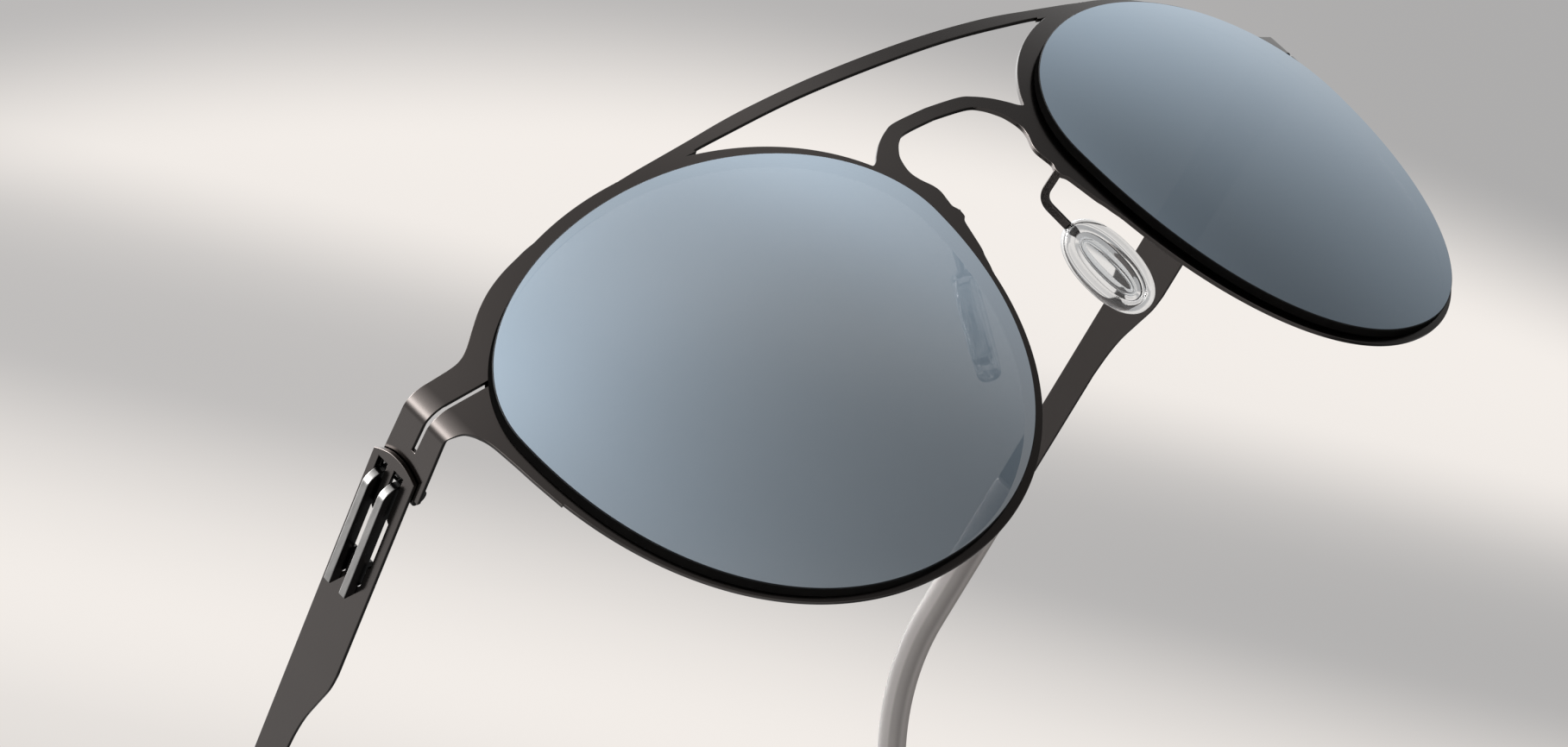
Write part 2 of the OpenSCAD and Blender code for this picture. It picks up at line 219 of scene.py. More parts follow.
class Skin:
    """The curved sheet: across the face, round the bend and back along the lug.

    A place on it is (u, z, d): u is x on the face and runs on as length round the bend, z is up,
    and d is the depth under the outer surface.
    """

    def __init__(self):
        s = settings().front
        self.big, self.small, self.t = s.face_r, s.bend_r, s.sheet
        away = self.big - self.small
        self.end = math.pi / 2 + settings().temple.toe_in
        self.cx = LUG_X - self.small
        for _ in range(8):  # settles where the lug meets the hinge
            self.a = math.asin(self.cx / away)
            self.cr = away * math.cos(self.a)
            behind = self.cr + self.small * math.cos(self.end) - math.hypot(self.big - AXIS_Y, HINGE_Z)
            run = behind / math.sin(self.end)
            self.cx = LUG_X - self.small * math.sin(self.end) - run * math.cos(self.end)
        self.turn = self.cx + self.small * math.sin(self.a)
        self.bend = self.small * (self.end - self.a)

    def __call__(self, u, z, d):
        side, u = (1, u) if u >= 0 else (-1, -u)
        if u < self.turn:
            k = (self.big - d) / self.big
            rho, x, z = math.sqrt(self.big ** 2 - u * u) * k, u * k, z * k
        elif u < self.turn + self.bend:
            b = self.a + (u - self.turn) / self.small
            rho, x = self.cr + (self.small - d) * math.cos(b), self.cx + (self.small - d) * math.sin(b)
        else:
            on, r = u - self.turn - self.bend, self.small - d
            rho = self.cr + r * math.cos(self.end) - on * math.sin(self.end)
            x = self.cx + r * math.sin(self.end) + on * math.cos(self.end)
            z -= on * math.tan(settings().temple.slope)
        return point((side * x, self.big - math.sqrt(rho * rho - z * z), z))

    def at(self, y, z):
        """How far along u the lug reaches the place y."""
        front = self.cr + self.small * math.cos(self.end)
        return self.turn + self.bend + (front - math.hypot(self.big - y, z)) / math.sin(self.end)

    def seen(self, x):
        """Where u stands at the place drawn at x from the front; the last part follows the bend outward."""
        if x > BEND_FROM:
            x = BEND_FROM + (x - BEND_FROM) * (self.cx + self.small - BEND_FROM) / (LUG_X - BEND_FROM)
        if x <= self.turn:
            return x
        return self.turn + self.small * (math.asin(min((x - self.cx) / self.small, 1)) - self.a)


def end_shape(skin):
    """The end piece with its two lugs, unrolled."""
    tilt = math.tan(settings().temple.slope)
    stop = lambda up: (skin.at(AXIS_Y + up * tilt - 0.12, HINGE_Z + up), HINGE_Z + up + LUG_DROP)
    upper = curve([(46.5, 24.3), (50.5, 23.9), (52.8, 23.4), (55.2, 22.75), (57.6, 21.8), (59.8, 20.55),
                   (61.8, 19.1), (63.7, 17.65), (64.9, 17), (66.2, 16.75), (68.6, 16.75), (70, 16.85)])
    lower = curve([(70.19, 11.08), (69.95, 10.7), (69.25, 9.9), (68.5, 8.1), (68.15, 5), (67.9, 2),
                   (67.5, -1.5)])
    flat = lambda pts: [(skin.seen(x), z) for x, z in pts]
    back = skin.turn + skin.bend + 1
    return (flat(upper) + [(back, 16.92), stop(LUG_TOP), stop(-LUG_LOW), (back, 11.1)]
            + flat(lower) + [(66.2, -1), (63.2, 14)])


def hinge_place(side):
    """From the hinge's own frame (out, back, up) to the shared frame."""
    t = settings().temple
    m = Matrix.Rotation(-t.slope, 4, "X") @ Matrix.Rotation(t.toe_in, 4, "Z")
    def place(x, y, z):
        p = m @ Vector((x, y, z))
        return point((p.x + AXIS_X, p.y + AXIS_Y, p.z + HINGE_Z), side)
    return place


def ear_path(s, across=0.0):
    """Along the temple: straight, bend, straight. Returns back, up and the angle there."""
    t = settings().temple
    swing = t.ear_r * t.ear_angle
    a = min(max(s - t.reach, 0), swing) / t.ear_r
    rest = max(s - t.reach - swing, 0)
    y = min(s, t.reach) + t.ear_r * math.sin(a) + rest * math.cos(a) + across * math.sin(a)
    z = (t.plate_w - t.neck_w) / 2 - t.ear_r * (1 - math.cos(a)) - rest * math.sin(a) + across * math.cos(a)
    return y, z, a


def path_end():
    t = settings().temple
    return t.reach + t.ear_r * t.ear_angle + t.tail


# -------- mesh making

def inside(points, loop):
    """Which of the points lie in the closed loop."""
    x, y = points[:, 0], points[:, 1]
    hit = np.zeros(len(points), bool)
    a = np.asarray(loop, float)
    for (x1, y1), (x2, y2) in zip(a, np.roll(a, -1, axis=0)):
        if y1 == y2:
            continue
        hit ^= ((y1 > y) != (y2 > y)) & (x < (x2 - x1) * (y - y1) / (y2 - y1) + x1)
    return hit


def make_mesh(name, verts, faces, normals=None):
    mesh = bpy.data.meshes.new(name)
    mesh.from_pydata([tuple(v) for v in verts], [], faces)
    mesh.update()
    mesh.shade_smooth()
    if normals:
        mesh.normals_split_custom_set_from_vertices([tuple(n) for n in normals])
    obj = bpy.data.objects.new(name, mesh)
    bpy.context.collection.objects.link(obj)
    return obj


def near_corners(loop, gap=0.12):
    """The loop with a point close on each side of every sharp corner, where shading then turns."""
    out = []
    for i, at in enumerate(loop):
        b = Vector(at)
        before, after = b - Vector(loop[i - 1]), Vector(loop[(i + 1) % len(loop)]) - b
        if min(before.length, after.length) > 1e-6 and abs(before.angle_signed(after)) > 0.2:
            out += [tuple(b - before * min(gap / before.length, 0.33)), tuple(b),
                    tuple(b + after * min(gap / after.length, 0.33))]
        else:
            out.append(tuple(b))
    return out


def cut_sheet(shapes, holes, place, thick, edge, guides=(), steps=3):
    """A piece cut from sheet, with rounded edges: the union of shapes less the holes.

    place(u, v, depth) puts the flat drawing into the shared frame. Returns verts, faces and normals.
    """
    shapes, holes = [near_corners(q) for q in shapes], [near_corners(q) for q in holes]
    pts, edges = [], []
    for loop in shapes + holes:
        base = len(pts)
        pts += [Vector(p) for p in loop]
        edges += [(base + i, base + (i + 1) % len(loop)) for i in range(len(loop))]
    for a, b in guides:
        edges.append((len(pts), len(pts) + 1))
        pts += [Vector(a), Vector(b)]
    got = geometry.delaunay_2d_cdt(pts, edges, [], 0, 1e-5)
    flat = np.array([tuple(v) for v in got[0]])
    tris = np.array([f for f in got[2]])
    mid = flat[tris].mean(axis=1)
    keep = np.zeros(len(tris), bool)
    for loop in shapes:
        keep |= inside(mid, loop)
    for loop in holes:
        keep &= ~inside(mid, loop)
    tris = tris[keep]
    a, b, c = flat[tris[:, 0]], flat[tris[:, 1]], flat[tris[:, 2]]
    area = (b[:, 0] - a[:, 0]) * (c[:, 1] - a[:, 1]) - (b[:, 1] - a[:, 1]) * (c[:, 0] - a[:, 0])
    tris[area < 0] = tris[area < 0][:, ::-1]
    used = np.unique(tris)
    index = {int(v): i for i, v in enumerate(used)}
    flat = flat[used]
    tris = [[index[int(v)] for v in t] for t in tris]
    # a border edge belongs to one triangle only, which lies on its left
    seen = {(t[i], t[(i + 1) % 3]) for t in tris for i in range(3)}
    border = sorted((i, j) for i, j in seen if (j, i) not in seen)
    inward = np.zeros_like(flat)
    for i, j in border:
        d = flat[j] - flat[i]
        n = np.array((-d[1], d[0])) / (np.hypot(*d) + 1e-12)
        inward[i] += n
        inward[j] += n
    ln = np.hypot(inward[:, 0], inward[:, 1])
    ln[ln < 1e-9] = 1
    # a mitred corner keeps the rounding the same width
    mitre = np.minimum(2 / ln, 1.6)
    inward = inward / ln[:, None]
    quarter = [math.pi / 2 * k / steps for k in range(steps + 1)]
    rings = [(edge * (1 - math.sin(q)), edge * (1 - math.cos(q)), math.cos(q), math.sin(q)) for q in quarter]
    rings += [(i, thick - d, -c, s) for i, d, c, s in reversed(rings)]
    verts, normals, faces = [], [], []
    h = 0.05

    def put(i, ring):
        inset, depth, over, out = ring
        n = inward[i]
        u, v = (float(q) for q in flat[i] + n * mitre[i] * inset)
        p = place(u, v, depth)
        du, dv = place(u + h, v, depth) - p, place(u, v + h, depth) - p
        face = du.cross(dv).normalized()
        if face.dot(place(u, v, depth - h) - p) < 0:
            face = -face
        side = (du * -float(n[0]) + dv * -float(n[1])).normalized()
        verts.append(p)
        normals.append((face * over + side * out).normalized())
        return len(verts) - 1

    n = len(flat)
    for ring in (rings[0], rings[-1]):
        for i in range(n):
            put(i, ring)
    rim = sorted({i for e in border for i in e})
    layer = [{i: i for i in rim}] + [{i: put(i, ring) for i in rim} for ring in rings[1:-1]]
    layer.append({i: i + n for i in rim})
    for t in tris:
        faces.append(tuple(t))
        faces.append(tuple(i + n for i in reversed(t)))
    for up, down in zip(layer[:-1], layer[1:]):
        for i, j in border:
            faces.append((up[j], up[i], down[i], down[j]))
    # the faces look outward where they agree with the normals
    if sum((verts[b] - verts[a]).cross(verts[c] - verts[a]).dot(normals[a]) for a, b, c, *_ in faces) < 0:
        faces = [tuple(reversed(f)) for f in faces]
    return verts, faces, normals


def join(parts):
    """Several (verts, faces, normals) as one."""
    verts, faces, normals = [], [], []
    for v, f, n in parts:
        base = len(verts)
        verts += v
        normals += n
        faces += [tuple(i + base for i in face) for face in f]
    return verts, faces, normals


def tube(rings, closed_ends=True):
    """Skins a list of rings of points that all have the same count."""
    verts = [v for r in rings for v in r]
    m = len(rings[0])
    faces = []
    for k in range(len(rings) - 1):
        for i in range(m):
            j = (i + 1) % m
            faces.append((k * m + i, k * m + j, (k + 1) * m + j, (k + 1) * m + i))
    if closed_ends:
        faces.append(tuple(reversed(range(m))))
        faces.append(tuple(range((len(rings) - 1) * m, len(rings) * m)))
    return verts, faces


def outward(obj, weld=False):
    """Makes all faces look outward; weld first closes a tube whose ends meet."""
    bm = bmesh.new()
    bm.from_mesh(obj.data)
    if weld:
        bmesh.ops.remove_doubles(bm, verts=bm.verts, dist=1e-7)
    bmesh.ops.recalc_face_normals(bm, faces=bm.faces)
    bm.to_mesh(obj.data)
    bm.free()


# -------- materials

class Wire:
    """A value inside a material, with arithmetic that adds the Math nodes."""

    def __init__(self, tree, socket):
        self.tree, self.socket = tree, socket

    def _math(self, operation, other, flipped=False):
        n = self.tree.nodes.new("ShaderNodeMath")
        n.operation = operation
        pair = (other, self) if flipped else (self, other)
        for value, socket in zip(pair, n.inputs):
            plug(self.tree, value, socket)
        return Wire(self.tree, n.outputs[0])

    def __add__(self, o): return self._math("ADD", o)
    def __radd__(self, o): return self._math("ADD", o, True)
    def __sub__(self, o): return self._math("SUBTRACT", o)
    def __rsub__(self, o): return self._math("SUBTRACT", o, True)
    def __mul__(self, o): return self._math("MULTIPLY", o)
    def __truediv__(self, o): return self._math("DIVIDE", o)
    def at_least(self, o): return self._math("MAXIMUM", o)


def plug(tree, value, socket):
    if isinstance(value, Wire):
        tree.links.new(value.socket, socket)
    elif hasattr(value, "__len__") and len(value) == 3 and socket.type == "RGBA":
        socket.default_value = (*value, 1)
    else:
        socket.default_value = value


class Finish:
    """A material of one Principled shader, or the nodes of a given tree; node() adds any other node."""

    def __init__(self, name=None, tree=None, **sockets):
        self.tree = tree
        if tree is not None:
            return
        self.material = bpy.data.materials.new(name)
        self.material.use_nodes = True
        tree = self.tree = self.material.node_tree
        tree.nodes.clear()
        self.out = tree.nodes.new("ShaderNodeOutputMaterial")
        self.shader = tree.nodes.new("ShaderNodeBsdfPrincipled")
        tree.links.new(self.shader.outputs[0], self.out.inputs[0])
        for key, value in sockets.items():
            self.set(key.replace("_", " "), value)

    def set(self, socket, value):
        plug(self.tree, value, self.shader.inputs[socket])

    def node(self, kind, config=None, values=None, out=0):
        n = self.tree.nodes.new(kind)
        for key, value in (config or {}).items():
            if key == "stops":
                ramp = n.color_ramp
                while len(ramp.elements) > 1:
                    ramp.elements.remove(ramp.elements[-1])
                ramp.elements[0].position = value[0][0]
                for at, rgb in value[1:]:
                    ramp.elements.new(at)
                for e, (at, rgb) in zip(ramp.elements, value):
                    e.color = (*rgb, 1)
            elif key == "easing":
                n.color_ramp.interpolation = value
            else:
                setattr(n, key, value)
        for key, value in (values or {}).items():
            plug(self.tree, value, n.inputs[key])
        return Wire(self.tree, n.outputs[out])

    def place(self):
        return self.node("ShaderNodeTexCoord", out=3)

    def parts(self, vector):
        n = self.tree.nodes.new("ShaderNodeSeparateXYZ")
        plug(self.tree, vector, n.inputs[0])
        return [Wire(self.tree, o) for o in n.outputs]

    def stretch(self, vector, scale):
        return self.node("ShaderNodeMapping", {}, {"Vector": vector, "Scale": scale})

    def noise(self, vector, scale, detail=3.0):
        return self.node("ShaderNodeTexNoise", {}, {"Vector": vector, "Scale": scale, "Detail": detail})

    def mix(self, mask, a, b):
        n = self.tree.nodes.new("ShaderNodeMix")
        n.data_type = "RGBA"
        plug(self.tree, mask, n.inputs[0])
        plug(self.tree, a, n.inputs[6])
        plug(self.tree, b, n.inputs[7])
        return Wire(self.tree, n.outputs[2])

    def bump(self, height, strength, distance):
        return self.node("ShaderNodeBump", {}, {"Height": height, "Strength": strength, "Distance": distance})

    def ramp(self, value, low, high):
        """0 at low, 1 at high, and a smooth step in between."""
        return self.node("ShaderNodeMapRange", {"interpolation_type": "SMOOTHSTEP"},
                         {"Value": value, "From Min": low, "From Max": high})

    def profile(self, value, low, high, stops):
        """A smooth line through (value, height) stops, which lie between low and high."""
        top = max(h for _, h in stops)
        grey = self.node("ShaderNodeValToRGB",
                         {"stops": [((v - low) / (high - low), (h / top,) * 3) for v, h in stops],
                          "easing": "B_SPLINE"}, {0: (value - low) / (high - low)})
        return grey * top

    def dot(self, vector, other):
        return self.node("ShaderNodeVectorMath", {"operation": "DOT_PRODUCT"}, {0: vector, 1: other}, out=1)


def paint(key, shade=1.0):
    """One of the chosen colours, made darker or lighter."""
    return tuple(v * shade for v in getattr(settings().colours, key))


def steel_finish(name="satin coated steel", grain=(0.08, 1.0, 1.0)):
    f = Finish(name, Metallic=1.0)
    here = f.place()
    lines = f.noise(f.stretch(here, tuple(900 * g for g in grain)), 9.0, 2.0)
    cloud = f.noise(here, 90.0, 4.0)
    f.set("Base Color", f.mix(cloud * 0.5, paint("steel"), paint("steel", 0.84)))
    f.set("Roughness", 0.13 + cloud * 0.05 + lines * 0.03)
    f.set("Normal", f.bump(lines, 0.05, 0.00002))
    return f.material


def clip_finish(name="satin clip", shade=1.0):
    light = paint("clip", shade)
    f = Finish(name, Metallic=1.0)
    here = f.place()
    scuff = f.noise(f.stretch(here, (400, 60, 400)), 6.0, 3.0)
    f.set("Base Color", f.mix(f.ramp(scuff, 0.35, 0.8), light, tuple(x * 0.75 for x in light)))
    f.set("Roughness", 0.24 + scuff * 0.10)
    f.set("Normal", f.bump(scuff, 0.05, 0.00002))
    return f.material


def mirror_finish():
    f = Finish("mirror coat", Metallic=1.0)
    here = f.place()
    smear = f.noise(f.stretch(here, (60, 60, 24)), 3.0, 3.0)
    f.set("Base Color", f.mix(smear * 0.12, paint("coat"), (0.52, 0.55, 0.58)))
    f.set("Roughness", 0.03 + smear * 0.03)
    slant = f.node("ShaderNodeLayerWeight", {}, {"Blend": 0.5}, out=1)
    f.set("Alpha", 0.72 + smear * 0.02 + f.ramp(slant, 0.36, 0.46) * 0.25)
    return f.material


def lens_back_finish():
    f = Finish("tinted lens back")
    here = f.place()
    smear = f.noise(here, 60.0, 3.0)
    f.set("Base Color", f.mix(smear * 0.3, paint("lens_in"), paint("lens_in", 1.6)))
    f.set("Roughness", 0.05 + smear * 0.03)
    f.set("Alpha", 0.62 + smear * 0.03)
    return f.material


def lens_edge_finish():
    f = Finish("ground lens edge", Specular_IOR_Level=0.0, Emission_Strength=1.0)
    here = f.place()
    grind = f.noise(here, 700.0, 3.0)
    f.set("Base Color", f.mix(grind * 0.5, (0.004, 0.004, 0.004), (0.012, 0.011, 0.010)))
    f.set("Roughness", 0.55 + grind * 0.2)
    # painted light: seen from inside the lens, the edge glows with an emission that stands in for the light
    # that falls through the tint
    inner = f.node("ShaderNodeNewGeometry", out=6)
    f.set("Emission Color", f.mix(inner, (0, 0, 0), (0.27, 0.25, 0.235)))
    return f.material


def lens_bevel_finish():
    f = Finish("lens bevel", Specular_IOR_Level=0.04)
    here = f.place()
    grind = f.noise(here, 500.0, 3.0)
    f.set("Base Color", f.mix(grind * 0.6, (0.012, 0.013, 0.014), (0.007, 0.007, 0.008)))
    f.set("Roughness", 0.4 + grind * 0.15)
    return f.material


def sleeve_finish():
    f = Finish("ear sleeve", Coat_Weight=0.15, Coat_Roughness=0.25)
    here = f.place()
    across = f.node("ShaderNodeAttribute", {"attribute_name": "across"}, out=2)
    # the darker band sits low across the sleeve: partly the metal end seen through it, partly painted shade
    # along the sleeve's lower side
    off = across + 0.45
    core = 1 - f.ramp(off * off, 0.06, 0.25)
    cloud = f.noise(here, 160.0, 4.0)
    skin = f.mix(cloud * 0.4, paint("sleeve"), paint("sleeve", 0.85))
    f.set("Base Color", f.mix(core * 0.75, skin, paint("sleeve_core")))
    f.set("Roughness", 0.34 + cloud * 0.14)
    f.set("Normal", f.bump(f.noise(here, 1600.0, 2.0), 0.06, 0.00003))
    return f.material


def clear_finish(name, rough):
    f = Finish(name, IOR=1.42, Transmission_Weight=1.0)
    here = f.place()
    cloud = f.noise(here, 220.0, 3.0)
    f.set("Base Color", f.mix(cloud * 0.5, paint("clear"), paint("clear", 0.97)))
    f.set("Roughness", rough + cloud * 0.03)
    return f.material


# -------- pieces

def finished(obj, body, nodes, slot, *materials):
    for m in materials:
        obj.data.materials.append(m)
    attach(obj, body)
    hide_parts(*nodes)
    return obj


def body_of(side):
    return "temple_left_body" if side == LEFT else "temple_right_body"


def word(side):
    return "left" if side == LEFT else "right"


class Piece(bpy.types.Operator):
    bl_options = {"REGISTER", "UNDO"}


class SUNGLASSES_OT_front(Piece):
    """Front sheet with rims, brow bar, bridge, lugs and rolled hinge eyes"""
    bl_idname = "sunglasses.front"
    bl_label = "Front sheet"

    def execute(self, context):
        s = settings().front
        skin = Skin()
        turn = np.arange(0, 360, 1.2)
        tilt = math.tan(settings().temple.slope)
        shapes, holes, guides = [brow_shape(), bridge_shape()], [], []
        middle = [(54.5, 12.9), (64.2, 13.25), (skin.seen(68.5), 13.5), (skin.at(SLIT_END, 13.7), 13.85)]
        slit = [(u, z - SLIT / 2) for u, z in middle] + [(u, z + SLIT / 2) for u, z in reversed(middle)]
        # the notch between the eyes starts before the axle and runs out past the lugs' ends
        far = skin.at(30, HINGE_Z)
        low, high = (skin.at(AXIS_Y - 1.25 + z * tilt, HINGE_Z + z) for z in (CLIP_LOW, CLIP_HIGH))
        z0, z1 = HINGE_Z + LUG_DROP + CLIP_LOW, HINGE_Z + LUG_DROP + CLIP_HIGH
        notch = [(low, z0), (far, z0), (far, z1), (high, z1)]
        for k in (1, -1):
            flip = lambda pts: [(k * x, z) for x, z in pts]
            shapes += [flip([rim_pt(t) for t in turn]), flip(end_shape(skin))]
            holes += [flip([lens_pt(t, -GROOVE) for t in turn]), flip(slit), flip(notch)]
            # lines across the bend, which its triangles follow
            for u in [66, 67, 68] + [skin.turn + skin.bend * i / 14 for i in range(15)]:
                guides.append(((k * u, 8.5), (k * u, 17.5)))
        parts = [cut_sheet(shapes, holes, skin, s.sheet, s.edge, guides)]
        for side in (LEFT, RIGHT):
            place = hinge_place(side)
            for z0, z1 in ((CLIP_HIGH + 0.02, LUG_TOP - 0.03), (-EYE_LOW, CLIP_LOW - 0.02)):
                around = EYE_R * math.radians(EYE_TURN)
                def curl(u, z, d, place=place):
                    a = u / EYE_R
                    return place((EYE_R - d) * math.cos(a), (EYE_R - d) * math.sin(a), z)
                box = [(-0.15, z0), (around, z0), (around, z1), (-0.15, z1)]
                lines = [((EYE_R * math.radians(q), z0 - 0.1), (EYE_R * math.radians(q), z1 + 0.1))
                         for q in range(0, EYE_TURN, 10)]
                parts.append(cut_sheet([box], [], curl, s.sheet, 0.05, lines))
        obj = make_mesh("front_sheet", *join(parts))
        finished(obj, "front", ["front_frame"], "satin_steel", steel_finish())
        return {"FINISHED"}


def pad_frame():
    """The left pad's middle and axes (across, up, face), and its arm's bend, leg and axes, in mm."""
    p = settings().pads
    mid = Vector((11.05, 6.6, -4.25))
    up = Vector((-0.364, -0.273, 0.891)).normalized()
    start = Vector((8.2, 0.35, 5.05))
    bend = mid + (p.length / 2 + 4) * up
    leg = (bend - start).length
    back = (bend - start).normalized()
    flat = back.cross(-up).normalized()
    arm_side = flat.cross(-up)
    across = math.cos(PAD_TURN) * arm_side - math.sin(PAD_TURN) * flat
    face = across.cross(up)
    return (mid, across, up, face), (bend, leg, back, flat, arm_side)


class SUNGLASSES_OT_pad_arms(Piece):
    """Pad arms, cut with the front sheet and folded back"""
    bl_idname = "sunglasses.pad_arms"
    bl_label = "Pad arms"

    def execute(self, context):
        t = settings().front.sheet
        steel = bpy.data.materials.get("satin coated steel")
        for side in (LEFT, RIGHT):
            (_, _, up, _), (bend, leg, back, flat, arm_side) = pad_frame()
            ang = math.acos(back.dot(up))
            ca, sa = math.cos(ang), math.sin(ang)
            # the middle line of the strip, smooth round its bend
            corner = [((1 - q) ** 2 * ARM_CORNER + q * q * ARM_CORNER * ca, q * q * ARM_CORNER * sa)
                      for q in np.linspace(0, 1, 17)]
            line = [Vector((5.4, 0)), Vector((3.4, 0))] + [Vector(p) for p in corner]
            line += [Vector((leg * k * ca, leg * k * sa)) for k in (0.6, 0.8, 1)]
            left, right = [], []
            for i, p in enumerate(line):
                d = (line[min(i + 1, len(line) - 1)] - line[max(i - 1, 0)]).normalized()
                n = Vector((-d.y, d.x)) * ARM_W / 2
                left.append(tuple(p + n))
                right.append(tuple(p - n))
            loop = left + right[::-1]
            def place(u, v, d, side=side):
                p = bend + u * -up + v * arm_side + (t / 2 - d) * flat
                return point(p, side)
            obj = make_mesh("pad_arm_" + word(side), *cut_sheet([loop], [], place, t, 0.09))
            finished(obj, "front", ["front_frame"], "satin_steel", steel)
        return {"FINISHED"}


COAT, BACK, EDGE, BEVEL = range(4)


class SUNGLASSES_OT_lenses(Piece):
    """Mirrored lenses with a ground bevel and a groove for the sheet"""
    bl_idname = "sunglasses.lenses"
    bl_label = "Lenses"

    def execute(self, context):
        s, front = settings().lens, settings().front
        coat, back, edge, bevel = mirror_finish(), lens_back_finish(), lens_edge_finish(), lens_bevel_finish()
        turn = np.arange(0, 360, 1.5)
        x0 = s.gap / 2 + s.width / 2
        outward_steps = (0.06, 0.2, 0.35, 0.5, 0.65, 0.78, 0.89, 0.96)
        sheet_out, sheet_in = front.face_r, front.face_r - front.sheet
        out, inn = front.face_r + s.proud, front.face_r + s.proud - s.thick
        for side in (LEFT, RIGHT):
            def ball(x, z, r):
                return point((x, front.face_r - math.sqrt(r * r - x * x - z * z), z), side)
            rings, slots = [], []
            def ring(slot, grow, r, k=1.0):
                pts = []
                for t in turn:
                    x, z = lens_pt(t, grow)
                    pts.append(ball(x0 + (x - x0) * k, z * k, r))
                rings.append(pts)
                slots.append(slot)
            for k in (*outward_steps, 1.0):
                ring(COAT, -s.bevel - 0.02, out, k)
            ring(BEVEL, -s.bevel + 0.02, out - 0.02)
            ring(BEVEL, -0.02, out - s.bevel + 0.02)
            deep = -GROOVE - 0.05
            for grow, r in ((0, out - s.bevel - 0.02), (0, sheet_out + 0.03), (deep, sheet_out + 0.02),
                            (deep, sheet_in - 0.02), (0, sheet_in - 0.03), (0, inn + 0.12), (-0.12, inn)):
                ring(EDGE, grow, r)
            for k in reversed(outward_steps):
                ring(BACK, -0.14, inn, k)
            obj = make_mesh("mirror_lens_" + word(side), *tube(rings))
            m = len(turn)
            for poly in obj.data.polygons:
                level = min(poly.vertices) // m
                poly.material_index = slots[min(level + 1, len(slots) - 1)]
            outward(obj)
            # the two faces shade as true spheres, the edge face by face
            centre = point((0, front.face_r, 0), side)
            normals = [None] * len(obj.data.loops)
            for poly in obj.data.polygons:
                for i, v in zip(poly.loop_indices, poly.vertices):
                    away = (obj.data.vertices[v].co - centre).normalized()
                    normals[i] = tuple((away, -away, poly.normal, poly.normal)[poly.material_index])
            obj.data.normals_split_custom_set(normals)
            finished(obj, "front", ["lens_" + word(side)], "mirror_lens", coat, back, edge, bevel)
        return {"FINISHED"}


class SUNGLASSES_OT_clips(Piece):
    """Clip hinges: two fins, two webs and the axle"""
    bl_idname = "sunglasses.clips"
    bl_label = "Clip hinges"

    def execute(self, context):
        # the second clip metal, at 0.15 of the brightness, is painted shade for the flanks, the hidden faces
        # and the axle
        metal, dark = clip_finish(), clip_finish("clip flanks", 0.15)
        sheet = settings().front.sheet
        plate_out, inner, heel = PLATE_IN + sheet, PLATE_IN - sheet, SLOT_END - 0.18
        top = plate_out + FIN_OUT
        outline = (arc(0, 0, 0.8, 90, 300, 20) + arc(top - 1.5, 0.9, 1.5, 245, 360, 24)
                   + arc(top - 0.3, SLOT_END + 0.7, 0.3, 0, 90, 8)
                   + [(plate_out + 0.02, SLOT_END + 1), (plate_out + 0.02, heel), (inner, heel),
                      (inner, SLOT_END - 3.3), (PLATE_IN + 0.15, SLOT_END - 3.6), (PLATE_IN + 0.15, 4.3),
                      (inner, 4), (inner, 1.2)])
        for side in (LEFT, RIGHT):
            hp = hinge_place(side)
            parts = []
            for s in (-1, 1):
                def fin(u, v, d, s=s):
                    return hp(u, v, CLIP_Z + s * FIN_Z + FIN_T / 2 - d)
                parts.append(cut_sheet([outline], [], fin, FIN_T, 0.1, steps=4))
            for y0, y1 in ((1.2, 3.9), (SLOT_END - 3.2, heel)):
                box = [(y0, CLIP_Z - FIN_Z), (y1, CLIP_Z - FIN_Z), (y1, CLIP_Z + FIN_Z), (y0, CLIP_Z + FIN_Z)]
                def web(u, v, d):
                    return hp(PLATE_IN - 0.005 - d, u, v)
                parts.append(cut_sheet([box], [], web, sheet - 0.01, 0.05))
            obj = make_mesh("clip_" + word(side), *join(parts))
            # painted shade: the cut flanks, the faces under the plate and the root round the axle take a
            # darker copy of the clip metal than the ground outer faces, where shadow falls between the parts
            foot = hp(0, 0, 0)
            out, axis = (hp(1, 0, 0) - foot).normalized(), (hp(0, 0, 1) - foot).normalized()
            for poly in obj.data.polygons:
                away = (poly.center - foot) - axis * (poly.center - foot).dot(axis)
                under = away.dot(out) < (plate_out + 0.05) * MM
                poly.material_index = int(abs(poly.normal.dot(axis)) > 0.8 or under or away.length < 2.0 * MM)
            finished(obj, body_of(side), ["hinge_clip_" + word(side)], "bright_steel", metal, dark)
            low, high = 0.15 - EYE_LOW, LUG_TOP - 0.15
            ends = ((low, 0.28), (low + 0.05, 0.36), (low + 0.15, 0.41), (high - 0.15, 0.41),
                    (high - 0.05, 0.36), (high, 0.28))
            turn = np.linspace(0, 2 * math.pi, 33)[:-1]
            rings = [[hp(r * math.cos(a), r * math.sin(a), z) for a in turn] for z, r in ends]
            obj = make_mesh("axle_" + word(side), *tube(rings))
            outward(obj)
            obj.data.set_sharp_from_angle(angle=math.radians(30))
            # the axle takes the painted shade copy of the clip metal
            finished(obj, body_of(side), ["hinge_clip_" + word(side)], "bright_steel", dark)
        return {"FINISHED"}


